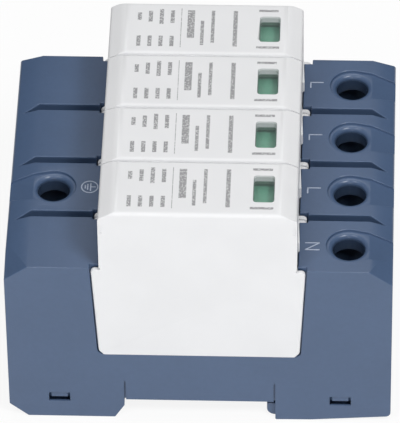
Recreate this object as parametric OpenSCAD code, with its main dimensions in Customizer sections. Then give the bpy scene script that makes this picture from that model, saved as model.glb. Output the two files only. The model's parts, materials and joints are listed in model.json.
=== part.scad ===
// Four-pole surge arrester for a 35 mm top-hat rail: one moulded base that holds four pluggable modules.
// X runs across the rail, Y along the rail and Z up from the feet. All lengths are in millimetres.

/* [Base] */
// Length of the base across the rail
base_l = 90; // [89:0.5:104]
// Distance between neighbouring poles
pole_pitch = 18; // [17.6:0.1:20]
// Height of the terminal shoulders
shoulder_z = 49.6; // [48:0.2:53]
// Thickness of the outer walls
wall = 1.6; // [1.4:0.1:1.8]
// Thickness of the shoulder over the terminals
roof_t = 5; // [4.5:0.1:6]
// Length of the slope at each end of the shoulders
slope_l = 5.5; // [4.5:0.1:6]
// Height lost over that slope
slope_h = 1.9; // [1:0.1:2.4]
// Extra height cut off at the two front corners
corner_h = 2.3; // [1:0.1:2.6]
// Reach of the corner cuts along the rail
corner_w = 10.2; // [6:0.2:14]
// Radius of the outer edges of the ends
edge_r = 1; // [0.4:0.1:1.4]
// Width of the grooves between the poles
groove_w = 1.9; // [1:0.1:2.4]
// Depth of those grooves
groove_h = 3.5; // [1:0.1:3.8]
// Taper of each groove past the start of the end slope
groove_taper_l = 3.4; // [2:0.1:4]

/* [Foot] */
// Width of the rail that the base clips onto
rail_w = 35; // [34:0.1:36]
// Height of the rail recess
recess_h = 5.8; // [5.2:0.1:6]
// Height of the slot behind the hooks that takes the rail's flange
flange_h = 1.6; // [1.2:0.05:1.8]
// Length of the bevel on the outer edge of the left foot
foot_bevel_l = 4.4; // [3:0.1:5]
// Height of the bevels on the left foot
foot_bevel_h = 4; // [3:0.1:4.2]
// Length of the bevel on the inner edge of the left foot
foot_inner_l = 2.3; // [1:0.1:3]
// Rise of the right foot's edge towards its outer end
sole_rise = 1.6; // [0.4:0.1:1.8]
// Height of the slits that run up the side faces from the recess's corners
slit_top_z = 12; // [10:0.05:13]
// Length of the snap lugs
lug_l = 3.8; // [3:0.1:5]
// Distance of the snap lugs from the middle
lug_x = 33.1; // [30:0.1:36]
// Width of a rail clip along the rail
clip_w = 12.2; // [10:0.1:13]
// Travel of a rail clip
clip_travel = 3.2; // [2.6:0.1:3.6]

/* [Plug] */
// Height of the plug's top above the feet
plug_top_z = 67.4; // [66:0.2:72]
// Gap between neighbouring plugs
plug_gap = 0.3; // [0.2:0.05:0.6]
// Length of the plug's upper body
plug_l = 45.8; // [45:0.1:46.4]
// Length of the rounded slope at each end of the top
plug_slope_l = 3.6; // [2.5:0.1:4]
// Height of that slope
plug_slope_h = 1.8; // [1:0.1:2.4]
// Radius along the top's long edges
plug_edge_r = 1; // [0.5:0.1:1.4]
// Length of a side plate at the shoulder
plate_top_l = 49.7; // [48.6:0.1:50.4]
// Length of a side plate at its lower edge
plate_low_l = 47; // [46.2:0.1:48]
// Height of the side plates' lower edge
plate_z = 21.4; // [20:0.1:22]
// Drop of the side plates' upper edge below the shoulder
plate_drop = 0.6; // [0.2:0.1:1]
// Thickness of the side plates
plate_t = 1.2; // [1:0.05:1.5]
// Wall of the plug's shell
shell_t = 1.5; // [1.2:0.1:1.8]
// Distance of the status window from the middle
window_x = 15.1; // [13:0.1:15.4]
// Length of the status window
window_l = 4.9; // [4:0.1:5.4]
// Width of the status window
window_w = 8.8; // [7:0.1:9.2]
// Depth of the collar under the top round that window
collar_h = 1.3; // [0.5:0.1:2]
// Edge of the square varistor block
varistor_l = 34; // [30:0.5:35]
// Travel of the trip slider
trip_travel = 6.6; // [6.2:0.1:7]

/* [Terminal] */
// Distance of the terminal screws from the chamber wall towards the plugs
terminal_inset = 7.95; // [7.8:0.05:8.6]
// Diameter of the screwdriver holes
hole_d = 7.5; // [7:0.1:8]
// Radius of the shallow dish around a hole
dish_r = 5.2; // [5:0.1:6]
// Depth of that dish
dish_h = 0.6; // [0.3:0.05:0.8]
// Diameter of the terminal screws
screw_d = 5; // [4:0.1:5.4]
// Diameter of the screw heads
head_d = 8.2; // [7.6:0.1:9]
// Height of the screw heads
head_h = 3.3; // [2.8:0.1:3.6]
// Largest conductor height that a terminal takes
wire_h = 8.5; // [7:0.1:9]
// Lift of a terminal cage from open to clamped
cage_lift = 6.5; // [5:0.1:6.6]
// Length of a terminal cage
cage_l = 8.2; // [7.4:0.1:8.6]
// Wall of a terminal cage
cage_t = 1.6; // [1.4:0.1:2]
// Thickness of the copper strips
strip_t = 1.2; // [1:0.05:1.4]
// Distance of the plug blades' middles from the ends of the plug's cavity
blade_inset = 4.1; // [3.6:0.1:4.6]
// Width of a plug blade
blade_w = 6; // [5:0.1:6.4]
// Thickness of a plug blade
blade_t = 1; // [0.8:0.05:1.2]

/* [Clearance] */
// Gap round a plug in its bay
bay_gap = 0.3; // [0.2:0.05:0.35]
// Gap between fixed pieces that are put together
seat_gap = 0.2; // [0.1:0.05:0.25]
// Gap between pieces that slide on flat faces
slide_gap = 0.1; // [0.05:0.01:0.15]
// Radial gap between a screw and its cage
thread_gap = 0.05; // [0.03:0.01:0.08]
// Gap at each side of the rail in its recess
rail_gap = 0.3; // [0.2:0.05:0.4]
// Gap between pieces that all but touch
touch_gap = 0.05; // [0.03:0.01:0.06]

/* [Hidden] */
$fn = 64;
over = 1;
skin = 0.01;
poles = [1, 2, 3, 4];
earth_pole = 2;
sides = [-1, 1];
last_pole = len(poles);

// Main planes of the base
half_l = base_l / 2;
plug_w = pole_pitch - plug_gap;
base_w = (last_pole - 1) * pole_pitch + plug_w;
half_w = base_w / 2;
slope_x = half_l - slope_l;
recess_x = rail_w / 2 + rail_gap;
inner_w = half_w - wall;
end_x = half_l - wall;
slit_w = 0.4;
slit_h = 0.6;
roof_z = shoulder_z - roof_t;

// Plug bay and its floor
plug_x = plug_l / 2;
plug_draft = 0.3;
plug_foot_r = 0.5;
plug_crown_r = 6;
plate_low_r = 1.4;
plate_top_r = 1;
plate_top_z = shoulder_z - plate_drop;
plug_low_x = plug_x - plug_draft;
bay_x = plug_x + seat_gap;
bay_w = half_w - plate_t - bay_gap + skin;
seat_z = plate_z - bay_gap;
bay_floor_t = 2;
bay_under_z = seat_z - bay_floor_t;
slot_top_x = plate_top_l / 2 + bay_gap;
slot_low_x = plate_low_l / 2 + bay_gap;
chamber_x = slot_top_x + wall;
chamber_w = plug_w / 2 - wall;

// Foot insert
insert_w = inner_w - seat_gap;
insert_x = end_x - seat_gap;
channel_t = 2;
insert_top_z = recess_h + channel_t;
sole_t = 1.6;
hook_reach = 1.3;
hook_h = 1.7;
hook_lip = 0.7;
hook_slope_l = 0.8;
hook_start = 5;
hook_end = 22;
lug_h = 2.65;
lug_low_z = insert_top_z - lug_h;
lug_top_z = insert_top_z;
lug_gap = 0.6;
lug_low_gap = 1;
lug_lip = 0.4;
lug_relief = 1.2;
lug_set_back = 0.3;
sole_flat_l = 8.5;
foot_r = 0.4;
sole_r = 1.4;

// Rail clips
clip_low_z = 1;
clip_t = 2.2;
tunnel_top_z = clip_low_z + clip_t + 3 * slide_gap;
clip_cheek_t = 1.3;
clip_in_w = insert_w - clip_cheek_t - slide_gap;
clip_y = clip_in_w - clip_w / 2;
tunnel_low_y = -clip_in_w - slide_gap;
tunnel_high_y = clip_w - clip_in_w + slide_gap;
clip_face_inset = 1.25;
hook_face_w = half_w - clip_face_inset;
clip_bite = 2;
hook_tip_x = recess_x - clip_bite;
hook_low_z = 0.3;
hook_r = 1.9;
hook_top_z = recess_h - flange_h;
hook_neck_l = 0.4;
hook_root_x = recess_x + hook_neck_l;
stop_gap = 0.3;
hook_room_x = hook_root_x + clip_travel + stop_gap;
hook_room_z = hook_top_z + stop_gap;
clip_end_inset = 0.4;
clip_end_x = half_l - clip_end_inset;
key_slot_l = 2;
key_slot_w = 6;
key_inset = 3;

// Terminals, stacked down from the roof
terminal_x = chamber_x + terminal_inset;
terminal_end = half_l - terminal_x;
head_drop = 4.1;
head_top_z = roof_z - head_drop;
head_low_z = head_top_z - head_h;
cage_top_t = 2.5;
cage_floor_t = 2;
cage_r = 0.8;
lift_gap = 0.5;
cage_top_z = head_low_z - lift_gap - cage_lift;
cage_roof_z = cage_top_z - cage_top_t;
tongue_gap = 0.7;
tongue_z = cage_roof_z - tongue_gap;
wire_low_z = tongue_z - strip_t - wire_h;
cage_low_z = wire_low_z - cage_floor_t;
cage_w = chamber_w - bay_gap;
dish_ring_w = 0.35;
funnel_r = dish_r - dish_ring_w;
lip_r = funnel_r - hole_d / 2;
lip_steps = 6;
dish_taper = 12;
entry_w = 9.6;
entry_rim = 0.7;
strip_w = 8;
leg_x = chamber_x + slide_gap;
post_h = 2;
post_l = 3;
post_w = 6;
insert_gap = 0.5;
run_z = insert_top_z + post_h;
fork_leaf_t = 0.8;
fork_gap = 0.6;
fork_top_z = bay_under_z - fork_gap;
blade_gap = 1.5;
blade_low_z = run_z + strip_t + blade_gap;
blade_slot_gap = 0.4;

// Inside of a plug
top_t = 1.5;
plug_floor_t = 1.5;
catch_t = 0.45;
catch_h = 3;
catch_l = 10.6;
catch_front_y = -3;
dimple_inset = 0.6;
dimple_w = 0.5;
dimple_l = 2.4;
dimple_h = 0.25;
dimple_drop = 5.2;
dimple_z = plug_top_z - dimple_drop;
cavity_x = plug_low_x - shell_t;
blade_x = cavity_x - blade_inset;
cavity_low_z = seat_z + plug_floor_t;
cavity_top_z = plug_top_z - top_t;
varistor_t = plug_w / 2 - plate_t - touch_gap - blade_t / 2;
varistor_top_z = cavity_low_z + varistor_l;
varistor_r = 2;
tab_gap = 0.3;
shelf_gap = 0.6;
shelf_low_z = varistor_top_z + shelf_gap;
shelf_t = 1.2;
shelf_z = shelf_low_z + shelf_t;
window_r = 0.8;
lens_flange_t = 0.6;
lens_rim = 1;
lens_step = 0.3;
collar_z = cavity_top_z - collar_h;
lens_set_back = 0.2;
rib_t = 2;
flag_gap = 0.3;
flag_top_z = collar_z - lens_flange_t - flag_gap;
flag_t = 1.2;
flag_rim = 0.9;
flag_low_x = window_x - window_l / 2 - flag_rim;
flag_high_x = window_x + window_l / 2 + flag_rim;
flag_y = window_w / 2 + flag_gap;
leg_offset = 1.8;
leg_y = flag_y + leg_offset;
slider_wall_t = 1.2;
shelf_end_gap = 1.95;
shelf_start_x = flag_low_x - slider_wall_t - trip_travel - shelf_end_gap;
card_t = 0.4;
spring_d = 2.4;
spring_wire = 0.36;
spring_turns = 9;
spring_y = plate_t - plug_w / 2 + slide_gap + spring_d / 2;
spring_z = shelf_z + seat_gap + spring_d / 2;
spring_end_gap = 0.03;

function pole_y(k) = (k - (last_pole + 1) / 2) * pole_pitch;
function low_y(k) = pole_y(k) - plug_w / 2;
function high_y(k) = pole_y(k) + plug_w / 2;

NODES = concat(
    ["base_housing", "base_floor", "rail_clip_front", "rail_clip_rear"],
    [for (k = poles) str("line_terminal_cage_", k)],
    [for (k = poles) str("line_terminal_screw_", k)],
    [for (k = poles) str("line_contact_", k)],
    ["earth_terminal_cage", "earth_terminal_screw", "earth_busbar"],
    [for (k = poles) str("plug_housing_", k)],
    [for (k = poles) str("plug_cover_", k)],
    [for (k = poles) str("window_lens_", k)],
    [for (k = poles) str("trip_slider_", k)],
    [for (k = poles) str("red_card_", k)],
    [for (k = poles) str("trip_spring_", k)],
    [for (k = poles) str("varistor_", k)],
    [for (k = poles) str("line_blade_", k)],
    [for (k = poles) str("earth_blade_", k)]
);
node = "all";

// Colours of the materials
blue_grey = [0.36, 0.42, 0.52];
dark_blue_grey = [0.30, 0.35, 0.44];
white = [0.93, 0.93, 0.94];
green = [0.30, 0.56, 0.42];
red = [0.75, 0.16, 0.14];
clear = [0.85, 0.90, 0.90, 0.4];
steel = [0.72, 0.73, 0.75];
copper = [0.78, 0.55, 0.38];
tin = [0.78, 0.78, 0.76];
blue = [0.13, 0.25, 0.50];

// Direction of a vector
function unit(v) = v / norm(v);

// Arc of radius r that rounds corner b between its neighbours a and c
function corner_arc(a, b, c, r, steps = 6) =
    r == 0 ? [b] :
    let (u = unit(a - b))
    let (v = unit(c - b))
    let (half = acos(u * v) / 2)
    let (middle = b + unit(u + v) * r / sin(half))
    let (from = b + u * r / tan(half) - middle)
    let (to = b + v * r / tan(half) - middle)
    let (start = atan2(from[1], from[0]))
    let (turn = (atan2(to[1], to[0]) - start + 540) % 360 - 180)
    [for (i = [0:steps]) middle + r * [cos(start + turn * i / steps), sin(start + turn * i / steps)]];

// Closed outline of corners [x, y, radius]
function rounded(p) =
    let (n = len(p))
    [for (i = [0:n - 1])
        let (a = p[(i + n - 1) % n])
        let (c = p[(i + 1) % n])
        each corner_arc([a[0], a[1]], [p[i][0], p[i][1]], [c[0], c[1]], p[i][2])];

// Box between two corners
module box(low, high) {
    translate(low) cube(high - low);
}

// XZ outline carried along Y
module along_y(y0, y1) {
    translate([0, y1, 0]) rotate([90, 0, 0]) linear_extrude(y1 - y0) children();
}

// YZ outline carried along X
module along_x(x0, x1) {
    translate([x0, 0, 0]) rotate([90, 0, 90]) linear_extrude(x1 - x0) children();
}

// Mirror to the chosen end of the base
module at_end(side) {
    mirror([side < 0 ? 1 : 0, 0, 0]) children();
}

// Outline of the base seen along the rail, with the rail recess between the feet
base_outline = rounded([
    [-half_l, foot_bevel_h, foot_r],
    [foot_bevel_l - half_l, 0, foot_r],
    [-recess_x - foot_inner_l, 0, foot_r],
    [-recess_x, foot_bevel_h, foot_r],
    [-recess_x, recess_h, 0],
    [recess_x, recess_h, 0],
    [recess_x, 0, foot_r],
    [recess_x + sole_flat_l, 0, 0],
    [half_l, sole_rise, sole_r],
    [half_l, shoulder_z - slope_h, edge_r],
    [slope_x, shoulder_z, 0],
    [-slope_x, shoulder_z, 0],
    [-half_l, shoulder_z - slope_h, edge_r]
]);

// Facet that takes off a front corner of the shoulder at the +X end
module corner_facet() {
    slope_start = [slope_x, -half_w, shoulder_z];
    slope_end = [half_l, corner_w - half_w, shoulder_z - slope_h];
    corner = [half_l, -half_w, shoulder_z - slope_h - corner_h];
    outside = [half_l + 3 * over, -half_w - 3 * over, shoulder_z + 3 * over];
    polyhedron(
        [slope_start, slope_end, corner, outside],
        [[0, 1, 2], [0, 2, 3], [0, 3, 1], [1, 3, 2]]
    );
}

// Shallow dish round a screwdriver hole, open towards the end of the shoulder
module terminal_dish() {
    fall = slope_h / slope_l;
    reach = terminal_end + over;
    touch = dish_r * [sin(dish_taper), cos(dish_taper)];
    outer_y = touch[1] - (reach - touch[0]) * tan(dish_taper);
    intersection() {
        along_y(-2 * dish_r, 2 * dish_r) polygon([
            [-2 * dish_r, shoulder_z - dish_h],
            [terminal_end - slope_l, shoulder_z - dish_h],
            [reach, shoulder_z - dish_h - fall * (slope_l + over)],
            [reach, shoulder_z + over],
            [-2 * dish_r, shoulder_z + over]
        ]);
        translate([0, 0, roof_z]) linear_extrude(roof_t + over) union() {
            circle(dish_r);
            polygon([touch, [reach, outer_y], [reach, -outer_y], [touch[0], -touch[1]]]);
        }
    }
}

// Flare of a screwdriver hole: a rounded lip from the dish down into the bore
module hole_lip() {
    lip_z = shoulder_z - dish_h;
    lip_arc = [for (i = [0:lip_steps])
        let (turn = 90 * i / lip_steps)
        [funnel_r - lip_r * sin(turn), lip_z - lip_r + lip_r * cos(turn)]];
    rotate_extrude() polygon(concat(
        [[0, lip_z + skin], [funnel_r, lip_z + skin]],
        lip_arc,
        [[0, lip_z - lip_r]]
    ));
}

// Everything cut for one terminal: hole, lip, dish and conductor entry
module terminal_cut() {
    translate([0, 0, roof_z - over]) cylinder(h = roof_t + 2 * over, d = hole_d);
    hole_lip();
    terminal_dish();
    entry_low = [0, -entry_w / 2, wire_low_z];
    entry_high = [terminal_end + over, entry_w / 2, tongue_z - strip_t + seat_gap];
    rim = [0, entry_rim, entry_rim];
    box(entry_low, entry_high);
    box(entry_low + [terminal_end - entry_rim, 0, 0] - rim, entry_high + rim);
}

// Groove over a pole boundary that tapers out past the start of the end slope
module pole_groove() {
    translate([0, 0, shoulder_z - groove_h]) linear_extrude(groove_h + over) polygon([
        [plate_top_l / 2, -groove_w / 2],
        [slope_x + groove_taper_l, -groove_w / 2],
        [slope_x, groove_w / 2],
        [plate_top_l / 2, groove_w / 2]
    ]);
}

// Slot that takes the side plates that meet at y0 to y1
module plate_slot(y0, y1) {
    along_y(y0, y1) polygon(rounded([
        [-slot_low_x, seat_z, plate_low_r + bay_gap],
        [slot_low_x, seat_z, plate_low_r + bay_gap],
        [slot_top_x, shoulder_z + over, 0],
        [-slot_top_x, shoulder_z + over, 0]
    ]));
}

// Moulded base: shoulders with terminal chambers round an open plug bay, open below for the insert
module base_housing() {
    color(blue_grey) difference() {
        along_y(-half_w, half_w) polygon(base_outline);
        for (side = sides) at_end(side) corner_facet();
        box([-bay_x, -bay_w, seat_z], [bay_x, bay_w, shoulder_z + over]);
        for (k = poles) {
            front_y = k == 1 ? -half_w - over : low_y(k) - plug_gap / 2 - skin;
            rear_y = k == last_pole ? half_w + over : high_y(k) + plug_gap / 2 + skin;
            plate_slot(front_y, low_y(k) + plate_t + bay_gap);
            plate_slot(high_y(k) - plate_t - bay_gap, rear_y);
        }
        box([-chamber_x, -inner_w, -over], [chamber_x, inner_w, bay_under_z]);
        box([-end_x, -inner_w, -over], [end_x, inner_w, insert_top_z + insert_gap]);
        for (side = sides, k = poles) at_end(side) box(
            [chamber_x, pole_y(k) - chamber_w, insert_top_z],
            [end_x, pole_y(k) + chamber_w, roof_z]
        );
        for (side = sides, k = poles) translate([side * blade_x, pole_y(k), 0]) box(
            [-blade_w / 2 - blade_slot_gap, -blade_t / 2 - blade_slot_gap, bay_under_z - over],
            [blade_w / 2 + blade_slot_gap, blade_t / 2 + blade_slot_gap, seat_z + over]
        );
        for (side = sides, k = [1:last_pole - 1]) translate([0, pole_y(k) + pole_pitch / 2, 0])
            at_end(side) pole_groove();
        for (k = poles) translate([terminal_x, pole_y(k), 0]) terminal_cut();
        mirror([1, 0, 0]) translate([terminal_x, pole_y(earth_pole), 0]) terminal_cut();
        lug_window = [lug_x - lug_l / 2 - lug_gap, lug_x + lug_l / 2 + lug_gap];
        for (side = sides) at_end(side) {
            box([lug_window[0], -half_w - over, lug_low_z], [lug_window[1], half_w + over, lug_top_z]);
            box(
                [lug_window[0], lug_lip - half_w, lug_low_z - lug_relief],
                [lug_window[1], half_w - lug_lip, lug_low_z + skin]
            );
        }
        for (side = sides) mirror([0, side > 0 ? 1 : 0, 0]) {
            for (end = sides) at_end(end) box(
                [recess_x - slit_w, -half_w - over, recess_h - over],
                [recess_x, slit_h - half_w, slit_top_z]
            );
            box([recess_x - over, -hook_face_w - slide_gap, -over], [hook_room_x, 0, hook_room_z]);
            box([end_x - over, tunnel_low_y, clip_low_z], [half_l + over, tunnel_high_y, tunnel_top_z]);
        }
    }
}

// Fixed hook that grips one flange of the rail
module fixed_hook(y0, y1) {
    along_y(y0, y1) polygon([
        [-recess_x - sole_t, hook_top_z],
        [hook_reach - recess_x, hook_top_z],
        [hook_reach - recess_x, hook_top_z - hook_lip],
        [-recess_x - hook_slope_l, hook_top_z - hook_h],
        [-recess_x - sole_t, hook_top_z - hook_h]
    ]);
}

// Insert that closes the base from below, forms the rail channel and guides the clips
module base_floor() {
    color(dark_blue_grey) difference() {
        union() {
            intersection() {
                along_y(-insert_w, insert_w) polygon(base_outline);
                box([-insert_x, -insert_w, 0], [-recess_x, insert_w, insert_top_z]);
            }
            box([recess_x, -insert_w, 0], [insert_x, insert_w, insert_top_z]);
            box([-recess_x - over, -insert_w, recess_h], [recess_x + over, insert_w, insert_top_z]);
            for (side = sides) mirror([0, side > 0 ? 1 : 0, 0]) {
                for (end = sides) translate([end * lug_x, 0, 0]) box(
                    [-lug_l / 2, lug_set_back - half_w, lug_low_z + lug_low_gap],
                    [lug_l / 2, over - insert_w, lug_top_z - touch_gap]
                );
                fixed_hook(hook_start - half_w, hook_end - half_w);
            }
            for (side = sides, k = poles) translate([side * blade_x, pole_y(k), 0])
                box([-post_l / 2, -post_w / 2, insert_top_z - insert_gap], [post_l / 2, post_w / 2, run_z]);
        }
        pocket_w = insert_w - sole_t;
        box(
            [foot_bevel_l + sole_t - half_l, -pocket_w, sole_t],
            [-recess_x - sole_t, pocket_w, insert_top_z + over]
        );
        bridge_w = clip_in_w - clip_w - sole_t;
        box([recess_x + sole_t, -bridge_w, sole_t], [insert_x - sole_t, bridge_w, insert_top_z + over]);
        for (side = sides) mirror([0, side > 0 ? 1 : 0, 0]) {
            box([recess_x - skin, -half_w, -over], [hook_room_x, tunnel_high_y, hook_room_z]);
            box([recess_x, tunnel_low_y, clip_low_z], [half_l, tunnel_high_y, tunnel_top_z]);
            translate([insert_x - key_inset - key_slot_l / 2, -clip_y, 0]) box(
                [0, -key_slot_w / 2, -over],
                [key_inset + key_slot_l / 2 + over, key_slot_w / 2, clip_low_z + over]
            );
        }
    }
}

// Sliding rail clip: hook with a rounded lead-in, plate in the tunnel and a slot for a screwdriver
module rail_clip() {
    rest_z = clip_low_z + slide_gap;
    hook_outline = rounded([
        [hook_tip_x, hook_top_z, 0],
        [hook_tip_x, hook_low_z, hook_r],
        [hook_root_x, hook_low_z, 0],
        [hook_root_x, hook_top_z, 0]
    ]);
    color(blue_grey) difference() {
        union() {
            along_y(-hook_face_w, clip_w - clip_in_w) polygon(hook_outline);
            box([recess_x, -clip_in_w, rest_z], [clip_end_x, clip_w - clip_in_w, rest_z + clip_t]);
        }
        translate([insert_x - key_inset, -clip_y, rest_z]) box(
            [-key_slot_l / 2, -key_slot_w / 2, -over],
            [key_slot_l / 2, key_slot_w / 2, clip_t + over]
        );
    }
}

// Folded clamping cage with a threaded top, drawn fully open
module terminal_cage() {
    outer = rounded([
        [-cage_w, cage_low_z, cage_r],
        [cage_w, cage_low_z, cage_r],
        [cage_w, cage_top_z, cage_r],
        [-cage_w, cage_top_z, cage_r]
    ]);
    inner = rounded([
        [cage_t - cage_w, wire_low_z, 0],
        [cage_w - cage_t, wire_low_z, 0],
        [cage_w - cage_t, cage_roof_z, 0],
        [cage_t - cage_w, cage_roof_z, 0]
    ]);
    color(tin) difference() {
        along_x(-cage_l / 2, cage_l / 2) polygon(outer);
        along_x(-cage_l, cage_l) polygon(inner);
        translate([0, 0, cage_roof_z - over])
            cylinder(h = cage_top_t + 2 * over, d = screw_d + 2 * thread_gap);
    }
}

// Cheese-head clamping screw with a cross recess, its tip on the contact tongue
module terminal_screw() {
    tip_z = tongue_z + touch_gap;
    tip_h = 0.6;
    bevel = 0.4;
    cross_w = 1.2;
    cross_l = 5.9;
    cross_h = 2;
    color(steel) difference() {
        union() {
            translate([0, 0, tip_z]) cylinder(h = tip_h, d1 = screw_d - 2 * tip_h, d2 = screw_d);
            translate([0, 0, tip_z + tip_h]) cylinder(h = head_low_z - tip_z - tip_h, d = screw_d);
            translate([0, 0, head_low_z]) cylinder(h = head_h - bevel, d = head_d);
            translate([0, 0, head_top_z - bevel]) cylinder(h = bevel, d1 = head_d, d2 = head_d - 2 * bevel);
        }
        for (turn = [0, 90]) rotate(turn) box(
            [-cross_l / 2, -cross_w / 2, head_top_z - cross_h],
            [cross_l / 2, cross_w / 2, head_top_z + over]
        );
    }
}

// Two spring leaves that grip a plug blade
module fork() {
    for (side = sides) mirror([0, side > 0 ? 1 : 0, 0]) box(
        [-blade_w / 2, blade_t / 2 + touch_gap, run_z],
        [blade_w / 2, blade_t / 2 + touch_gap + fork_leaf_t, fork_top_z]
    );
}

// Copper strip from under the plug blade up to the tongue in the cage
module contact_strip() {
    translate([blade_x, 0, 0]) fork();
    half = strip_w / 2;
    box([blade_x - blade_w / 2, -half, run_z], [leg_x + strip_t, half, run_z + strip_t]);
    box([leg_x, -half, run_z], [leg_x + strip_t, half, tongue_z]);
    box([leg_x, -half, tongue_z - strip_t], [terminal_x + cage_l / 2, half, tongue_z]);
}

// Contact of one line or neutral pole
module line_contact() {
    color(copper) contact_strip();
}

// Bar that joins the earth side of all poles to the earth terminal
module earth_busbar() {
    bar_end_y = pole_y(last_pole) + strip_w / 2;
    color(copper) mirror([1, 0, 0]) {
        translate([0, pole_y(earth_pole), 0]) contact_strip();
        for (k = poles) translate([blade_x, pole_y(k), 0]) fork();
        translate([blade_x, 0, run_z]) box([-blade_w / 2, -bar_end_y, 0], [blade_w / 2, bar_end_y, strip_t]);
    }
}

// Outline of a plug seen along the rail, without its side plates
plug_outline = rounded([
    [-plug_low_x, seat_z, plug_foot_r],
    [plug_low_x, seat_z, plug_foot_r],
    [plug_low_x, shoulder_z, 0],
    [plug_x, shoulder_z, 0],
    [plug_x, plug_top_z - plug_slope_h, plug_edge_r],
    [plug_x - plug_slope_l, plug_top_z, plug_crown_r],
    [plug_slope_l - plug_x, plug_top_z, plug_crown_r],
    [-plug_x, plug_top_z - plug_slope_h, plug_edge_r],
    [-plug_x, shoulder_z, 0],
    [-plug_low_x, shoulder_z, 0]
]);

// Outline of a side plate with its ears
plate_outline = rounded([
    [-plate_low_l / 2, plate_z, plate_low_r],
    [plate_low_l / 2, plate_z, plate_low_r],
    [plate_top_l / 2, plate_top_z, plate_top_r],
    [-plate_top_l / 2, plate_top_z, plate_top_r]
]);

// Status window in plan, larger by rim on every side
module window_plan(rim, corner) {
    translate([window_x, 0]) polygon(rounded([
        [-window_l / 2 - rim, -window_w / 2 - rim, corner],
        [window_l / 2 + rim, -window_w / 2 - rim, corner],
        [window_l / 2 + rim, window_w / 2 + rim, corner],
        [-window_l / 2 - rim, window_w / 2 + rim, corner]
    ]));
}

// Low wedge on the plug's window end that helps to pull it
module plug_catch() {
    translate([plug_x, 0, shoulder_z + bay_gap]) linear_extrude(catch_h) polygon([
        [-over, catch_front_y],
        [0, catch_front_y],
        [catch_t, catch_front_y + catch_t],
        [0, catch_front_y + catch_l],
        [-over, catch_front_y + catch_l]
    ]);
}

// Shell of a plug: top, ends, floor and the side plate towards the front
module plug_housing() {
    color(white) difference() {
        union() {
            difference() {
                union() {
                    intersection() {
                        along_y(-plug_w / 2, plug_w / 2) polygon(plug_outline);
                        along_x(-plug_x - over, plug_x + over) polygon(rounded([
                            [-plug_w / 2, seat_z, 0],
                            [plug_w / 2, seat_z, 0],
                            [plug_w / 2, plug_top_z, plug_edge_r],
                            [-plug_w / 2, plug_top_z, plug_edge_r]
                        ]));
                    }
                    along_y(-plug_w / 2, plate_t - plug_w / 2) polygon(plate_outline);
                    plug_catch();
                }
                box(
                    [-cavity_x, plate_t - plug_w / 2, cavity_low_z],
                    [cavity_x, plug_w / 2 + over, cavity_top_z]
                );
            }
            box(
                [shelf_start_x, plate_t - plug_w / 2 - skin, shelf_low_z],
                [cavity_x + skin, plug_w / 2 - plate_t - seat_gap, shelf_z]
            );
            translate([0, 0, collar_z]) linear_extrude(collar_h + skin) window_plan(lens_rim, window_r);
        }
        box(
            [-slot_top_x, plug_w / 2 - plate_t, seat_z - over],
            [slot_top_x, plug_w / 2 + over, plate_top_z]
        );
        translate([0, 0, collar_z - over])
            linear_extrude(collar_h + top_t + 2 * over) window_plan(0, window_r);
        for (side = sides) translate([side * (plug_x - dimple_inset), -plug_w / 2, dimple_z]) box(
            [-dimple_w / 2, -over, -dimple_l / 2],
            [dimple_w / 2, dimple_h, dimple_l / 2]
        );
        for (side = sides) translate([side * blade_x, 0, 0]) box(
            [-blade_w / 2 - slide_gap, -blade_t / 2 - slide_gap, seat_z - over],
            [blade_w / 2 + slide_gap, blade_t / 2 + slide_gap, cavity_low_z + over]
        );
    }
}

// Side plate towards the rear, with ribs that hold the blades
module plug_cover() {
    inside_y = plug_w / 2 - plate_t;
    color(white) union() {
        along_y(inside_y, plug_w / 2) polygon(plate_outline);
        box(
            [slide_gap - cavity_x, inside_y, plate_top_z - over],
            [cavity_x - slide_gap, plug_w / 2, cavity_top_z - slide_gap]
        );
        for (side = sides) translate([side * blade_x, 0, 0]) box(
            [-rib_t / 2, blade_t / 2 + touch_gap, cavity_low_z + over],
            [rib_t / 2, inside_y + skin, varistor_top_z - varistor_l / 2]
        );
    }
}

// Clear window with a flange under its collar
module window_lens() {
    color(clear) union() {
        translate([0, 0, collar_z - lens_step])
            linear_extrude(collar_h + top_t + lens_step - lens_set_back)
                window_plan(-slide_gap, window_r - slide_gap);
        translate([0, 0, collar_z - lens_flange_t - touch_gap])
            linear_extrude(lens_flange_t) window_plan(lens_rim, window_r);
    }
}

// Slider with the green flag, pushed aside by its spring when the plug has tripped
module trip_slider() {
    foot_z = shelf_z + touch_gap;
    under_z = flag_top_z - flag_t + skin;
    wall_low_x = flag_low_x - slider_wall_t;
    color(green) union() {
        box([wall_low_x, -flag_y, flag_top_z - flag_t], [flag_high_x, leg_y, flag_top_z]);
        box([wall_low_x, spring_y - spring_d / 2, foot_z], [flag_low_x, leg_y, under_z]);
        box([wall_low_x, leg_y - slider_wall_t, foot_z], [flag_high_x, leg_y, under_z]);
    }
}

// Red card on the shelf that shows when the flag has moved away
module red_card() {
    color(red) box(
        [flag_low_x + flag_gap, -flag_y, shelf_z],
        [cavity_x - flag_gap, leg_y - slider_wall_t - flag_gap, shelf_z + card_t]
    );
}

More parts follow.
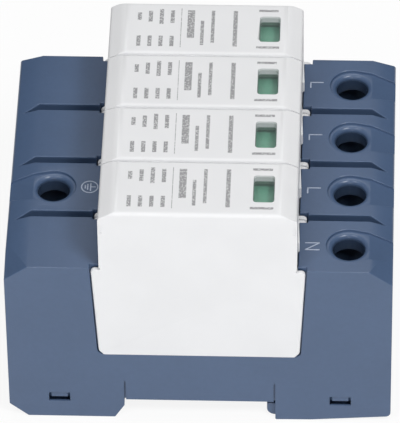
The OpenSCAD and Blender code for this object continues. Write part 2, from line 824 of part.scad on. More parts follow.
// Compression spring between the plug's end wall and the slider, swept round its axis
module trip_spring() {
    sections = 6;
    steps = 9;
    rings = spring_turns * steps;
    coil_r = (spring_d - spring_wire) / 2;
    start_x = flag_low_x + spring_wire / 2 + spring_end_gap;
    coil_l = cavity_x - spring_end_gap - spring_wire / 2 - start_x;
    points = [for (i = [0:rings], j = [0:sections - 1])
        let (turn = 360 * i / steps)
        let (across = coil_r + spring_wire / 2 * cos(360 * j / sections))
        let (along = coil_l * i / rings + spring_wire / 2 * sin(360 * j / sections))
        [start_x + along, spring_y + across * cos(turn), spring_z + across * sin(turn)]];
    skin = [for (i = [0:rings - 1], j = [0:sections - 1])
        let (next = (j + 1) % sections)
        let (a = i * sections)
        let (b = a + sections)
        each [[a + j, a + next, b + next], [a + j, b + next, b + j]]];
    first_end = [for (j = [0:sections - 1]) sections - 1 - j];
    last_end = [for (j = [0:sections - 1]) rings * sections + j];
    color(steel) polyhedron(points, concat(skin, [first_end, last_end]));
}

// Metal-oxide block that carries the surge
module varistor() {
    block = rounded([
        [-varistor_l / 2, cavity_low_z, varistor_r],
        [varistor_l / 2, cavity_low_z, varistor_r],
        [varistor_l / 2, varistor_top_z, varistor_r],
        [-varistor_l / 2, varistor_top_z, varistor_r]
    ]);
    color(blue) along_y(-blade_t / 2 - varistor_t, -blade_t / 2) polygon(block);
}

// Blade from the varistor's front electrode to the line contact
module line_blade() {
    color(tin) box(
        [blade_x - blade_w / 2, -blade_t / 2, blade_low_z],
        [blade_x + blade_w / 2, blade_t / 2, varistor_top_z - varistor_l / 3]
    );
}

// Blade with a tab that goes round the varistor's edge to its other electrode
module earth_blade() {
    tab_x = varistor_l / 2 + tab_gap;
    blade_top_z = varistor_top_z - varistor_l / 3;
    color(tin) mirror([1, 0, 0]) union() {
        translate([blade_x, 0, 0])
            box([-blade_w / 2, -blade_t / 2, blade_low_z], [blade_w / 2, blade_t / 2, blade_top_z]);
        translate([tab_x, 0, blade_top_z])
            box([0, -varistor_t - blade_t / 2, -blade_w], [blade_t, blade_t / 2, 0]);
    }
}

// Draw what the chosen node names
function wanted(name) = node == "all" || node == name;

if (wanted("base_housing")) base_housing();
if (wanted("base_floor")) base_floor();
if (wanted("rail_clip_front")) rail_clip();
if (wanted("rail_clip_rear")) mirror([0, 1, 0]) rail_clip();
for (k = poles) {
    if (wanted(str("line_terminal_cage_", k))) translate([terminal_x, pole_y(k), 0]) terminal_cage();
    if (wanted(str("line_terminal_screw_", k))) translate([terminal_x, pole_y(k), 0]) terminal_screw();
    if (wanted(str("line_contact_", k))) translate([0, pole_y(k), 0]) line_contact();
    if (wanted(str("plug_housing_", k))) translate([0, pole_y(k), 0]) plug_housing();
    if (wanted(str("plug_cover_", k))) translate([0, pole_y(k), 0]) plug_cover();
    if (wanted(str("window_lens_", k))) translate([0, pole_y(k), 0]) window_lens();
    if (wanted(str("trip_slider_", k))) translate([0, pole_y(k), 0]) trip_slider();
    if (wanted(str("red_card_", k))) translate([0, pole_y(k), 0]) red_card();
    if (wanted(str("trip_spring_", k))) translate([0, pole_y(k), 0]) trip_spring();
    if (wanted(str("varistor_", k))) translate([0, pole_y(k), 0]) varistor();
    if (wanted(str("line_blade_", k))) translate([0, pole_y(k), 0]) line_blade();
    if (wanted(str("earth_blade_", k))) translate([0, pole_y(k), 0]) earth_blade();
}
if (wanted("earth_terminal_cage")) translate([-terminal_x, pole_y(earth_pole), 0]) terminal_cage();
if (wanted("earth_terminal_screw")) translate([-terminal_x, pole_y(earth_pole), 0]) terminal_screw();
if (wanted("earth_busbar")) earth_busbar();
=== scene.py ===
import json
import math

import bmesh
import bpy
import numpy as np
from mathutils import Matrix, Vector


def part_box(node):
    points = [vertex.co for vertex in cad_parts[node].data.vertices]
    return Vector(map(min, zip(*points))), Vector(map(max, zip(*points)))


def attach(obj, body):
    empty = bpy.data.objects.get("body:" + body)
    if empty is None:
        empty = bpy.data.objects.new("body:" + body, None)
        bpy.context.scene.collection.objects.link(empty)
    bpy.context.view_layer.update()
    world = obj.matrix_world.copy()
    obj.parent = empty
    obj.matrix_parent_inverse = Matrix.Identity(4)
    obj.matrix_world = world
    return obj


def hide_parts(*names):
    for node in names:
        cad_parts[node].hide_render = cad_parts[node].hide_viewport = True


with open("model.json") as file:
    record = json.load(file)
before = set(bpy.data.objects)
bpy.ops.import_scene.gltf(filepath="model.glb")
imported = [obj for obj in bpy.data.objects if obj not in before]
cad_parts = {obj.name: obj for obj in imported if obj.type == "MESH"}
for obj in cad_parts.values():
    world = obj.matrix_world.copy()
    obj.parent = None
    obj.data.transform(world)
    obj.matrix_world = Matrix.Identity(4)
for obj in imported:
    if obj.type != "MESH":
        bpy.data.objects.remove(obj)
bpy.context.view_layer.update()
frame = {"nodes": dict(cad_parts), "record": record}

MM = 0.001
POLES = (1, 2, 3, 4)
PITCH = 18 * MM
SHOULDER = 49.6 * MM
PLUG_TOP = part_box("plug_housing_1")[1].z
WELL_X = sum(corner.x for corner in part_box("line_terminal_screw_1")) / 2

# Where masks fade, as start and end of a smooth step
WELL_SIDE = 3.85 * MM, 4.25 * MM
WELL_LIP = SHOULDER - 2.3 * MM, SHOULDER - 1.5 * MM
LABEL_FACE = PLUG_TOP - 0.25 * MM, PLUG_TOP - 0.1 * MM
LENS_FOOT = 64.55 * MM, 64.65 * MM
LENS_SIDE = 65.4 * MM, 65.9 * MM

# Limits for the rounding of edges: turn of a sharp edge, turn within a flat face, distance of doubles,
# cosine of an edge that runs straight on, share of the room that a radius may take, a reach that sets no
# limit, and an area that keeps a mean defined
SHARP = math.radians(30)
FLAT = math.radians(0.5)
DOUBLE = 1e-6
STRAIGHT_ON = -0.85
ROOM_SHARE = 0.45
NO_LIMIT = 1.0
TINY_AREA = 1e-12


def pole_y(k):
    """Middle of pole k along the rail."""
    return (k - 2.5) * PITCH


class Wire:
    """A node socket that Python arithmetic can use: each operator adds a Math node to the socket's tree."""

    def __init__(self, tree, socket=None):
        self.tree, self.socket = tree, socket

    def node(self, kind, settings, sockets, out=0):
        """Adds a node of that kind: its settings first, then values or wires for its sockets.
        Gives one output."""
        made = self.tree.nodes.new(kind)
        for name, value in settings.items():
            setattr(made, name, value)
        for name, value in sockets.items():
            if isinstance(value, Wire):
                self.tree.links.new(value.socket, made.inputs[name])
            else:
                made.inputs[name].default_value = value
        return Wire(self.tree, made.outputs[out])

    def math(self, operation, *values):
        return self.node("ShaderNodeMath", {"operation": operation}, dict(enumerate(values)))

    def __add__(self, other):
        return self.math("ADD", self, other)

    def __radd__(self, other):
        return self.math("ADD", other, self)

    def __sub__(self, other):
        return self.math("SUBTRACT", self, other)

    def __rsub__(self, other):
        return self.math("SUBTRACT", other, self)

    def __mul__(self, other):
        return self.math("MULTIPLY", self, other)

    def __rmul__(self, other):
        return self.math("MULTIPLY", other, self)

    def __abs__(self):
        return self.math("ABSOLUTE", self)

    def most(self, other):
        return self.math("MAXIMUM", self, other)

    def least(self, other):
        return self.math("MINIMUM", self, other)

    def rise(self, low, high):
        """Smooth step from 0 at low to 1 at high."""
        return self.node(
            "ShaderNodeMapRange",
            {"interpolation_type": "SMOOTHSTEP"},
            {"Value": self, "From Min": low, "From Max": high},
        )

    def blend(self, low, high):
        """Colour low where this wire is 0 and colour high where it is 1."""
        return self.node(
            "ShaderNodeMix",
            {"data_type": "RGBA"},
            {0: self, 6: low, 7: high},
            2,
        )

    def noise(self, scale, detail=2.0):
        """Noise over the place that this wire carries."""
        return self.node("ShaderNodeTexNoise", {}, {"Vector": self, "Scale": scale, "Detail": detail})

    def bump(self, strength, distance):
        """Normal of a surface raised by this wire's height."""
        return self.node("ShaderNodeBump", {}, {"Strength": strength, "Distance": distance, "Height": self})

    def axes(self):
        """X, Y and Z of the place that this wire carries."""
        split = self.node("ShaderNodeSeparateXYZ", {}, {0: self}).socket.node
        return [Wire(self.tree, socket) for socket in split.outputs]


def new_material(name, **constants):
    """New material with constants on its shader. Gives the material, its shader and the object's own
    coordinates."""
    made = bpy.data.materials.new(name)
    made.use_nodes = True
    shader = made.node_tree.nodes["Principled BSDF"]
    for key, value in constants.items():
        shader.inputs[key.replace("_", " ")].default_value = value
    place = Wire(made.node_tree).node("ShaderNodeTexCoord", {}, {}, "Object")
    return made, shader, place


def feed(shader, **wires):
    """Links wires to the shader's sockets."""
    for key, wire in wires.items():
        wire.tree.links.new(wire.socket, shader.inputs[key.replace("_", " ")])


def shade(colour, factor):
    """Colour made lighter or darker, with full alpha."""
    return (*[part * factor for part in colour], 1.0)


def across_pole(along):
    """Place across a pole, counted from its middle, from a place along the rail."""
    return along.math("WRAP", along + PITCH / 2, PITCH / 2, -PITCH / 2)


def in_wells(place):
    """Mask of the screwdriver wells, for their painted shade: 1 inside a well and below its lip, the same at
    every pole and end.
    """
    x, along, z = place.axes()
    across = across_pole(along)
    far = abs(x) - WELL_X
    apart = place.math("SQRT", far * far + across * across)
    return (1 - apart.rise(*WELL_SIDE)) * (1 - z.rise(*WELL_LIP))


def moulded_plastic(name, colour, rough, grain, painted_shade_mask=None):
    """Spark-eroded plastic: slow drift of tone, fine grain in the surface and gloss that follows the grain.
    Where the painted-shade mask is 1, the colour is darkened as painted shade and the plastic is a little
    smoother."""
    made, shader, place = new_material(name, IOR=1.5)
    drift = place.noise(70, 2)
    fine = place.noise(3200, 3)
    speck = place.noise(900, 2)
    tone = (drift * 0.6 + speck * 0.4).rise(0.3, 0.7).blend(shade(colour, 0.965), shade(colour, 1.035))
    gloss = rough - 0.05 + fine * 0.1
    if painted_shade_mask is not None:
        # Painted shade: the wells' colour is darkened where the mask is 1; only the lower roughness is a real
        # change
        well_shade = painted_shade_mask(place)
        tone = well_shade.blend(tone, shade(colour, 0.6))
        gloss = gloss - well_shade * 0.08
    feed(
        shader,
        Base_Color=tone,
        Roughness=gloss,
        Normal=(fine * 0.7 + speck * 0.3).bump(grain, 0.02 * MM),
    )
    return made


def bar(x, y, middle, size, soft=0.06 * MM):
    """Mask of a small bar: 1 inside its half sizes and 0 outside, with a soft edge."""
    inside = 1 - abs(x - middle[0] * MM).rise(size[0] * MM / 2 - soft, size[0] * MM / 2 + soft)
    return inside * (1 - abs(y - middle[1] * MM).rise(size[1] * MM / 2 - soft, size[1] * MM / 2 + soft))


# Label of a plug: middle and size of each bar in millimetres, first the short rows in two columns
LABEL_ROWS = [(-15.8, 2.6), (-13.2, 3.8), (-10.6, 5.2), (-8.0, 4.4)]
ROW_THICK = 0.95
LABEL_BARS = [((row, 3.9), (ROW_THICK, long)) for row, long in LABEL_ROWS]
LABEL_BARS += [((row, -4.6), (ROW_THICK, 3.6)) for row, _ in LABEL_ROWS]
LABEL_BARS += [
    ((-5.9, 0.0), (0.16, 13.6)),
    ((-3.6, 1.4), (1.7, 9.6)),
    ((-0.9, -1.6), (0.8, 8.4)),
    ((1.6, 0.6), (0.8, 11.2)),
    ((6.9, 0.0), (1.0, 12.4)),
    ((14.7, 6.35), (4.6, 0.75)),
    ((14.7, -6.35), (5.4, 0.75)),
]

# Pocket under the status window: its ends along X, Y and Z in millimetres
POCKET_X, POCKET_Y, POCKET_Z = (10.3, 21.2), (-8, 8), (57.9, 63.5)


def between(wire, low, high, soft=0.1 * MM):
    """1 where a wire lies between two values in millimetres, with soft ends."""
    return wire.rise(low * MM, low * MM + soft) * (1 - wire.rise(high * MM - soft, high * MM))


def printed_plastic(name, colour, ink, warning):
    """White moulded plastic whose top carries a plain label of broken grey bars, the same on every pole.
    The pocket under the window is painted in the warning colour, which shows after a trip."""
    made, shader, place = new_material(name, Specular_IOR_Level=0.2)
    x, along, z = place.axes()
    y = across_pole(along)
    mask = None
    for middle, size in LABEL_BARS:
        one = bar(x, y, middle, size)
        mask = one if mask is None else mask.most(one)
    broken = place.noise(2600, 1).rise(0.34, 0.5)
    mask = mask * (0.35 + broken * 0.65) * z.rise(*LABEL_FACE)
    pocket = between(x, *POCKET_X) * between(y, *POCKET_Y) * between(z, *POCKET_Z)
    drift = place.noise(60, 2)
    fine = place.noise(3600, 3)
    tone = drift.rise(0.3, 0.7).blend(shade(colour, 0.985), shade(colour, 1.012))
    feed(
        shader,
        Base_Color=pocket.blend(mask.blend(tone, (*ink, 1)), (*warning, 1)),
        Roughness=0.46 + fine * 0.1 + mask * 0.08,
        Normal=fine.bump(0.12, 0.02 * MM),
    )
    return made


def plated_metal(name, colour, tarnish, rough, scratch):
    """Plated strip or screw: drawn lines along the part, patches of duller tone and uneven gloss."""
    made, shader, place = new_material(name, Metallic=1.0)
    lines = place.node("ShaderNodeMapping", {}, {"Vector": place, "Scale": scratch}).noise(900, 3)
    patch = place.noise(260, 4)
    feed(
        shader,
        Base_Color=patch.rise(0.35, 0.7).blend((*colour, 1), (*tarnish, 1)),
        Roughness=rough - 0.08 + patch * 0.12 + lines * 0.08,
        Normal=(lines * 0.6 + patch * 0.4).bump(0.15, 0.02 * MM),
    )
    return made


def clear_plastic(name):
    """Polished clear window: see-through face on and paler at a slant as a painted sheen, with a painted
    reflection of the flag's green low in its sides and a hint of moulding flow in its gloss."""
    made, shader, place = new_material(name, IOR=1.5, Coat_Weight=1.0, Coat_Roughness=0.03)
    flow = place.noise(420, 2)
    z = place.axes()[2]
    # Painted reflection: the flag's green is painted into the window's lower sides, which are made less clear
    # there
    flag_reflection_paint = (1 - z.rise(*LENS_SIDE)) * z.rise(*LENS_FOOT)
    # Painted sheen: at a slant the pale colour shows more, standing in for light caught by the rim
    slant_sheen_paint = place.node("ShaderNodeLayerWeight", {}, {"Blend": 0.5}, "Facing")
    pale = flow.blend((0.46, 0.55, 0.55, 1), (0.54, 0.63, 0.63, 1))
    feed(
        shader,
        Base_Color=flag_reflection_paint.blend(pale, (0.03, 0.13, 0.07, 1)),
        Roughness=0.03 + flow * 0.05,
        Alpha=0.04 + slant_sheen_paint * slant_sheen_paint * 0.6 + flag_reflection_paint * 0.55,
        Normal=flow.bump(0.05, 0.02 * MM),
    )
    return made


def coated_block(name, colour, dark):
    """Dipped epoxy over a pressed block: orange-peel skin with darker pits."""
    made, shader, place = new_material(name, Coat_Weight=0.4)
    peel = place.noise(520, 3)
    pits = place.noise(1700, 2).rise(0.6, 0.75)
    feed(
        shader,
        Base_Color=pits.blend((*colour, 1), (*dark, 1)),
        Roughness=0.3 + peel * 0.2,
        Normal=(peel - pits * 0.5).bump(0.35, 0.05 * MM),
    )
    return made


def mark_ink(name, colour):
    """Pad-printed ink: slightly uneven cover and a dry sheen."""
    made, shader, place = new_material(name)
    cover = place.noise(2400, 3)
    feed(
        shader,
        Base_Color=cover.rise(0.25, 0.6).blend(shade(colour, 0.85), shade(colour, 1.05)),
        Roughness=0.5 + cover * 0.2,
        Normal=cover.bump(0.1, 0.01 * MM),
    )
    return made


SIGNAL_RED = (0.55, 0.025, 0.02)
looks = {
    # The base's screwdriver wells carry painted shade through the in_wells mask
    "base_plastic": moulded_plastic("base_plastic", (0.068, 0.111, 0.201), 0.32, 0.2, in_wells),
    "insert_plastic": moulded_plastic("insert_plastic", (0.067, 0.109, 0.198), 0.42, 0.25),
    "plug_plastic": printed_plastic("plug_plastic", (0.806, 0.811, 0.824), (0.33, 0.33, 0.34), SIGNAL_RED),
    "lens": clear_plastic("lens"),
    "flag_green": moulded_plastic("flag_green", (0.071, 0.278, 0.172), 0.4, 0.15),
    "card_red": moulded_plastic("card_red", SIGNAL_RED, 0.55, 0.2),
    "zinc_steel": plated_metal("zinc_steel", (0.62, 0.63, 0.65), (0.50, 0.50, 0.48), 0.34, (1, 1, 9)),
    "spring_steel": plated_metal("spring_steel", (0.56, 0.56, 0.57), (0.42, 0.41, 0.40), 0.3, (6, 1, 1)),
    "copper": plated_metal("copper", (0.78, 0.44, 0.27), (0.60, 0.31, 0.19), 0.36, (1, 8, 1)),
    "tinned": plated_metal("tinned", (0.71, 0.71, 0.69), (0.58, 0.58, 0.56), 0.38, (8, 8, 1)),
    "varistor_coat": coated_block("varistor_coat", (0.025, 0.07, 0.2), (0.012, 0.035, 0.11)),
}
ink = mark_ink("mark_ink", (0.44, 0.50, 0.62))
slot_of = {row["node"]: row["material_slot"] for row in frame["record"]["subparts"]}
body_of = {node: body for body, nodes in frame["record"]["behaviour"]["bodies"].items() for node in nodes}


def mesh_arrays(mesh):
    """Whole arrays of a mesh: edge, vertex and face of each loop, face normals, edge ends, places."""
    edge, vertex = (np.empty(len(mesh.loops), np.int32) for _ in range(2))
    total = np.empty(len(mesh.polygons), np.int32)
    normal = np.empty(len(mesh.polygons) * 3, np.float32)
    ends = np.empty(len(mesh.edges) * 2, np.int32)
    place = np.empty(len(mesh.vertices) * 3, np.float32)
    mesh.loops.foreach_get("edge_index", edge)
    mesh.loops.foreach_get("vertex_index", vertex)
    mesh.polygons.foreach_get("loop_total", total)
    mesh.polygons.foreach_get("normal", normal)
    mesh.edges.foreach_get("vertices", ends)
    mesh.vertices.foreach_get("co", place)
    face = np.repeat(np.arange(len(total)), total)
    return edge, vertex, face, normal.reshape(-1, 3), ends.reshape(-1, 2), place.reshape(-1, 3).astype(float)


def edge_turns(mesh):
    """Turn between the two faces at each edge and whether it is convex. Loops sorted by edge put twins
    together; with e the edge as the first face runs round it, n1 x e points into that face, and lies below
    the second face where the edge is convex."""
    edge, vertex, face, normal, ends, place = mesh_arrays(mesh)
    order = np.argsort(edge, kind="stable")
    pair = np.flatnonzero(edge[order][1:] == edge[order][:-1])
    first, second = order[pair], order[pair + 1]
    which = edge[first]
    along = place[ends[which, 1]] - place[ends[which, 0]]
    along *= np.where(vertex[first] == ends[which, 0], 1, -1)[:, None]
    n1, n2 = normal[face[first]], normal[face[second]]
    turn, convex = np.zeros(len(ends)), np.zeros(len(ends), bool)
    turn[which] = np.arccos(np.clip((n1 * n2).sum(1), -1, 1))
    convex[which] = (np.cross(n1, along) * n2).sum(1) < 0
    return turn, convex


def grouped(keys, count, values):
    """Table with one row a key that lists the values that have it, filled up with -1."""
    order = np.argsort(keys, kind="stable")
    rank = np.arange(len(keys)) - np.searchsorted(keys[order], keys[order])
    table = np.full((count, rank.max() + 1), -1)
    table[keys[order], rank] = values[order]
    return table


def edge_room(mesh):
    """Length and middle of each edge, and the room beside it: the shortest reach, square to the edge, of the
    other edges that leave its ends."""
    *_, ends, place = mesh_arrays(mesh)
    tip = ends.T.ravel()
    away = place[ends[:, ::-1].T.ravel()] - place[tip]
    length = np.linalg.norm(away, axis=1)
    away /= length[:, None]
    own = np.arange(len(tip))
    near = grouped(tip, len(place), own)[tip]
    cosine = (away[near] * away[:, None]).sum(-1)
    reach = length[near] * np.sqrt(np.clip(1 - cosine**2, 0, 1))
    reach[(near < 0) | (near == own[:, None]) | (cosine < STRAIGHT_ON)] = NO_LIMIT
    return length[: len(ends)], place[ends].mean(1), reach.min(1).reshape(2, -1).min(0)


def smooth_corners(mesh):
    """Each corner's normal is the mean, by area, of the faces at its vertex that turn less than SHARP from
    its own face, so that flat faces stay flat up to their rounded edges."""
    _, vertex, face, normal, _, place = mesh_arrays(mesh)
    area = np.empty(len(mesh.polygons), np.float32)
    mesh.polygons.foreach_get("area", area)
    near = grouped(vertex, len(place), face)[vertex]
    like = (near >= 0) & ((normal[near] * normal[face][:, None]).sum(-1) > math.cos(SHARP))
    mean = (normal[near] * np.where(like, area[near] + TINY_AREA, 0)[..., None]).sum(1)
    mean /= np.linalg.norm(mean, axis=1)[:, None]
    mesh.polygons.foreach_set("use_smooth", np.ones(len(mesh.polygons), bool))
    mesh.normals_split_custom_set(mean.tolist())


def ride_as(piece, node):
    """Puts a piece in place of a CAD node: same body, same slot, same finish."""
    piece.data.materials.clear()
    piece.data.materials.append(looks[slot_of[node]])
    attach(piece, body_of[node])
    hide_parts(node)


def softened(node, radius, least=0.3, segments=3, spare=None):
    """Puts a copy of a CAD node in its place, with doubles merged and flat faces joined. Its convex edges
    that are longer than least, have room beside them and aren't spared are rounded to a radius, inside the
    node's own box. Lengths are in millimetres."""
    mesh = frame["nodes"][node].data.copy()
    work = bmesh.new()
    work.from_mesh(mesh)
    bmesh.ops.remove_doubles(work, verts=work.verts, dist=DOUBLE)
    bmesh.ops.dissolve_limit(work, angle_limit=FLAT, verts=work.verts, edges=work.edges)
    work.to_mesh(mesh)
    turn, convex = edge_turns(mesh)
    length, middle, room = edge_room(mesh)
    chosen = (turn > SHARP) & convex & (length > least * MM) & (room > radius * MM / ROOM_SHARE)
    if spare is not None:
        chosen &= ~spare(*(middle / MM).T, length / MM)
    work.edges.ensure_lookup_table()
    bmesh.ops.bevel(
        work,
        geom=[work.edges[i] for i in np.flatnonzero(chosen)],
        offset=radius * MM,
        offset_type="OFFSET",
        segments=segments,
        profile=0.5,
        affect="EDGES",
        clamp_overlap=False,
    )
    work.to_mesh(mesh)
    work.free()
    low, high = (np.array(corner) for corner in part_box(node))
    mesh.vertices.foreach_set("co", mesh_arrays(mesh)[-1].clip(low, high).ravel())
    smooth_corners(mesh)
    piece = bpy.data.objects.new(node + "_soft", mesh)
    bpy.context.scene.collection.objects.link(piece)
    ride_as(piece, node)


def new_piece(name, points, faces, material, body):
    """Mesh piece from whole arrays of points and faces, riding on a body."""
    mesh = bpy.data.meshes.new(name)
    mesh.from_pydata(points.reshape(-1, 3).tolist(), [], faces)
    mesh.polygons.foreach_set("use_smooth", np.ones(len(mesh.polygons), bool))
    mesh.materials.append(material)
    piece = bpy.data.objects.new(name, mesh)
    bpy.context.scene.collection.objects.link(piece)
    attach(piece, body)
    return piece


def grid_faces(rows, columns, closed_rows):
    """Quads of a grid whose columns close on themselves, and whose rows do if asked."""
    i = np.arange(rows if closed_rows else rows - 1)[:, None]
    j = np.arange(columns)[None, :]
    a, b = i * columns, (i + 1) % rows * columns
    k = (j + 1) % columns
    return np.stack([a + j, a + k, b + k, b + j], -1).reshape(-1, 4).tolist()


def swept(path, across, up, profile, closed=False):
    """Profile (p, q) carried along a path: point = path + p across + q up, with flat ends on an open path."""
    points = path[:, None] + profile[None, :, :1] * across[:, None] + profile[None, :, 1:] * up[:, None]
    rows, columns = points.shape[:2]
    faces = grid_faces(rows, columns, closed)
    if not closed:
        faces += [list(range(columns))[::-1], list(range((rows - 1) * columns, rows * columns))]
    return points.reshape(-1, 3), faces


def ink_profile(width, height=0.02, sides=12, squareness=0.35):
    """Cross-section of a printed line: a flat oval, width across and height above the surface. The cosine's
    size is raised to a power below 1, which fills out its sides."""
    turn = np.linspace(0, 2 * np.pi, sides, endpoint=False)
    wide = np.sign(np.cos(turn)) * np.abs(np.cos(turn)) ** squareness
    return np.stack([wide * width / 2, (0.5 + 0.5 * np.sin(turn)) * height], 1) * MM


def ink_line(start, end, width, rows=5):
    """Straight printed line on the shoulder between two points in millimetres: a + (b - a) t."""
    steps = np.linspace(0, 1, rows)[:, None]
    a, b = np.array([*start, SHOULDER / MM]) * MM, np.array([*end, SHOULDER / MM]) * MM
    along = (b - a) / np.linalg.norm(b - a)
    across = np.broadcast_to(np.cross((0, 0, 1), along), (rows, 3))
    up = np.broadcast_to((0.0, 0.0, 1.0), (rows, 3))
    return swept(a + (b - a) * steps, across, up, ink_profile(width))


def ink_ring(middle, radius, width, rows=64):
    """Printed circle: the line's cross-section carried round (cos u, sin u)."""
    turn = np.linspace(0, 2 * np.pi, rows, endpoint=False)
    out = np.stack([np.cos(turn), np.sin(turn), 0 * turn], 1)
    path = np.array([*middle, SHOULDER / MM]) * MM + out * radius * MM
    return swept(path, -out, np.broadcast_to((0.0, 0.0, 1.0), out.shape), ink_profile(width), True)


def printed_mark(name, strokes):
    """One printed mark on the shoulder from its strokes."""
    points, faces, count = [], [], 0
    for place, quads in strokes:
        points.append(place)
        faces += [[v + count for v in quad] for quad in quads]
        count += len(place)
    new_piece(name, np.concatenate(points), faces, ink, "base")


def helix_spring(node, wire=0.18 * MM, turns=9, steps=20, sides=10):
    """Trip spring as a wire of that radius: a circle on the radial and axial directions, carried along a
    helix about X."""
    low, high = (np.array(corner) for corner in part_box(node))
    t = np.linspace(0, 1, turns * steps + 1)
    out = np.stack([0 * t, np.cos(2 * np.pi * turns * t), np.sin(2 * np.pi * turns * t)], 1)
    middle = (low + high) / 2
    coil = (high[2] - low[2]) / 2 - wire
    run = low[0] + wire + (high[0] - low[0] - 2 * wire) * t
    path = np.stack([run, 0 * t + middle[1], 0 * t + middle[2]], 1)
    turn = np.linspace(0, 2 * np.pi, sides, endpoint=False)
    profile = np.stack([np.cos(turn), np.sin(turn)], 1) * wire
    axis = np.broadcast_to((1.0, 0.0, 0.0), out.shape)
    points, faces = swept(path + out * coil, out, axis, profile)
    piece = new_piece(node + "_wire", points, faces, looks["spring_steel"], body_of[node])
    ride_as(piece, node)


# Edges that stay sharp, told by the edge's middle and length in millimetres
def base_spare(x, y, z, length):
    """The low rims of the end faces, where the moulding is too fine to round."""
    return (np.abs(x) > 43) & (z < 9)


def floor_spare(x, y, z, length):
    """The upper rims of the insert's sides, hidden behind the base's walls."""
    return (np.abs(y) > 33.5) & (z > 6.5)


def cover_spare(x, y, z, length):
    """Short edges away from the rounded corners of the plates' ears."""
    return (length < 0.3) & ((np.abs(x) < 23) | (z > 50))


def housing_spare(x, y, z, length):
    """The face that the cover closes, the dimples, the catch wedge and the crown, which is round in the
    solid."""
    pitch = PITCH / MM
    across = (y / pitch % 1 - 0.5) * pitch
    hidden = (across > 7.1) & (z < 50) | (across > 8.65)
    dimple = (np.abs(x) > 21.9) & (np.abs(x) < 22.7) & (z > 60.8) & (z < 63.6) & (across < -8.3)
    wedge = (x > 22.95) & (z > 49.8) & (z < 53)
    crown = (z > 64.5) & (np.abs(across) > 7.6)
    return hidden | dimple | wedge | crown | cover_spare(x, y, z, length)


def lens_spare(x, y, z, length):
    """All of the window but the rim of its upper face."""
    return z < 66.9


softened("base_housing", 0.22, least=0.5, spare=base_spare)
softened("base_floor", 0.2, spare=floor_spare)
for end in ("front", "rear"):
    softened(f"rail_clip_{end}", 0.25)
for k in POLES:
    softened(f"plug_housing_{k}", 0.4, least=0.2, spare=housing_spare)
    softened(f"plug_cover_{k}", 0.4, least=0.2, spare=cover_spare)
    softened(f"window_lens_{k}", 0.5, least=0.05, spare=lens_spare)
    softened(f"trip_slider_{k}", 0.15)
    softened(f"line_terminal_cage_{k}", 0.2, least=0.5, segments=2)
    helix_spring(f"trip_spring_{k}")
softened("earth_terminal_cage", 0.2, least=0.5, segments=2)
for node, solid in frame["nodes"].items():
    solid.data.materials.clear()
    solid.data.materials.append(looks[slot_of[node]])

# Marks beside the terminals: each stroke's ends and width in millimetres
for k in POLES[1:]:
    y = pole_y(k) / MM
    printed_mark(
        f"mark_line_{k}",
        [
            ink_line((24.66, y + 0.85), (27.86, y + 0.85), 0.32),
            ink_line((24.8, y + 0.85), (24.8, y - 1.0), 0.32),
        ],
    )
y = pole_y(1) / MM
printed_mark(
    "mark_neutral",
    [
        ink_line((24.56, y + 0.63), (27.95, y + 0.63), 0.32),
        ink_line((24.56, y - 1.62), (27.95, y - 1.62), 0.32),
        ink_line((24.6, y - 1.62), (27.9, y + 0.63), 0.3),
    ],
)
y = pole_y(2) / MM
printed_mark(
    "mark_earth",
    [
        ink_ring((-26.23, y), 1.9, 0.3),
        ink_line((-26.0, y), (-24.76, y), 0.28),
        ink_line((-26.0, y - 1.3), (-26.0, y + 1.3), 0.3),
        ink_line((-26.68, y - 0.97), (-26.68, y + 0.97), 0.3),
        ink_line((-27.25, y - 0.57), (-27.25, y + 0.57), 0.3),
    ],
)

# Camera from the fit of the photograph's corners
IMAGE_HIGH = 423
FOCAL_PX, DISTANCE = 5731.12, 1.3584
AZIMUTH, ELEVATION, ROLL = (math.radians(a) for a in (2.551, 44.511, -0.867))
TARGET = Vector((-0.883, 0, 33.232)) * MM
back = Vector(
    (math.sin(AZIMUTH) * math.cos(ELEVATION), -math.cos(AZIMUTH) * math.cos(ELEVATION), math.sin(ELEVATION))
)
right = Vector((math.cos(AZIMUTH), math.sin(AZIMUTH), 0))
up = back.cross(right)
turned_right = right * math.cos(ROLL) + up * math.sin(ROLL)
turned_up = up * math.cos(ROLL) - right * math.sin(ROLL)
optics = bpy.data.cameras.new("camera")
optics.sensor_fit = "AUTO"
optics.sensor_width = 36
optics.lens = FOCAL_PX * optics.sensor_width / IMAGE_HIGH
camera = bpy.data.objects.new("camera", optics)
spot = TARGET + back * DISTANCE
camera.matrix_world = Matrix(
    [(turned_right[i], turned_up[i], back[i], spot[i]) for i in range(3)] + [(0, 0, 0, 1)]
)
bpy.context.scene.collection.objects.link(camera)
bpy.context.scene.camera = camera


def seen_straight(tree, gloss):
    """1 for rays from the camera and through clear pieces, a share for gloss, and 0 for light on things."""
    rays = tree.nodes.new("ShaderNodeLightPath").outputs
    camera_ray, glossy, through = (
        Wire(tree, rays[name]) for name in ("Is Camera Ray", "Is Glossy Ray", "Is Transmission Ray")
    )
    return (camera_ray + through + glossy * gloss).least(1)


def soft_box(name, place, aim, size, power):
    """Square area lamp at a place that faces its aim, with its side in metres and its power in watts."""
    lamp = bpy.data.lights.new(name, "AREA")
    lamp.shape, lamp.size, lamp.energy = "SQUARE", size, power
    piece = bpy.data.objects.new(name, lamp)
    facing = (Vector(aim) - Vector(place)).to_track_quat("-Z", "Y")
    piece.matrix_world = Matrix.Translation(place) @ facing.to_matrix().to_4x4()
    bpy.context.scene.collection.objects.link(piece)


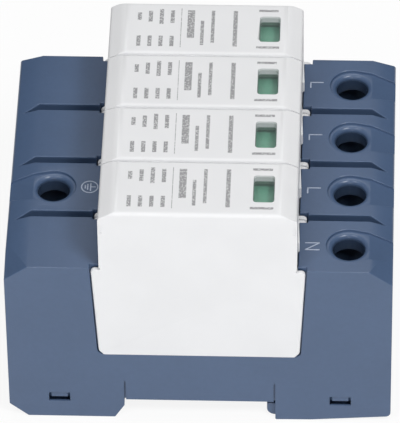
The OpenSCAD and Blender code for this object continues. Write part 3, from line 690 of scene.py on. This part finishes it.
AMBIENT = 0.05
SHEET_GLOW = 0.88
FLOOR_REACH, FLOOR_Z = 3.0, -0.05 * MM
AIM, LOW_AIM = (0, 0, 0.04), (0, 0, 0.03)
world = bpy.data.worlds.new("studio")
world.use_nodes = True
bpy.context.scene.world = world
sky = world.node_tree.nodes["Background"]
sky.inputs["Color"].default_value = (1, 1, 1, 1)
strength = AMBIENT + seen_straight(world.node_tree, 0) * (1 - AMBIENT)
world.node_tree.links.new(strength.socket, sky.inputs["Strength"])

soft_box("right", (0.48, -0.57, 1.1), AIM, 0.35, 8.5)
soft_box("left", (-0.43, -0.61, 1.1), AIM, 0.35, 3.8)
soft_box("over", (0, 0.2, 1.3), AIM, 0.7, 2.8)
soft_box("behind", (0, 0.65, 1.15), AIM, 0.6, 2.4)
soft_box("low", (0, -1.3, 0.22), LOW_AIM, 0.4, 4.7)

floor_mesh = bpy.data.meshes.new("floor")
floor_corners = [(x * FLOOR_REACH, y * FLOOR_REACH, FLOOR_Z) for x, y in ((-1, -1), (1, -1), (1, 1), (-1, 1))]
floor_mesh.from_pydata(floor_corners, [], [(0, 1, 2, 3)])
floor = bpy.data.objects.new("floor", floor_mesh)
bpy.context.scene.collection.objects.link(floor)
paper, bounce, paper_place = new_material("paper", Roughness=0.9)
feed(bounce, Base_Color=paper_place.noise(30, 2).blend((0.88, 0.88, 0.88, 1), (0.92, 0.92, 0.92, 1)))
plain = Wire(paper.node_tree, bounce.outputs[0])
glow = plain.node("ShaderNodeEmission", {}, {"Color": (1, 1, 1, 1), "Strength": 1.0})
sheet = plain.node("ShaderNodeBsdfDiffuse", {}, {"Color": (1, 1, 1, 1)})
seen_sheet = plain.node("ShaderNodeMixShader", {}, {0: SHEET_GLOW, 1: sheet, 2: glow})
seen = seen_straight(paper.node_tree, 1)
surface = plain.node("ShaderNodeMixShader", {}, {0: seen, 1: plain, 2: seen_sheet})
paper.node_tree.links.new(surface.socket, paper.node_tree.nodes["Material Output"].inputs["Surface"])
floor_mesh.materials.append(paper)

bpy.context.scene.view_settings.view_transform = "Standard"
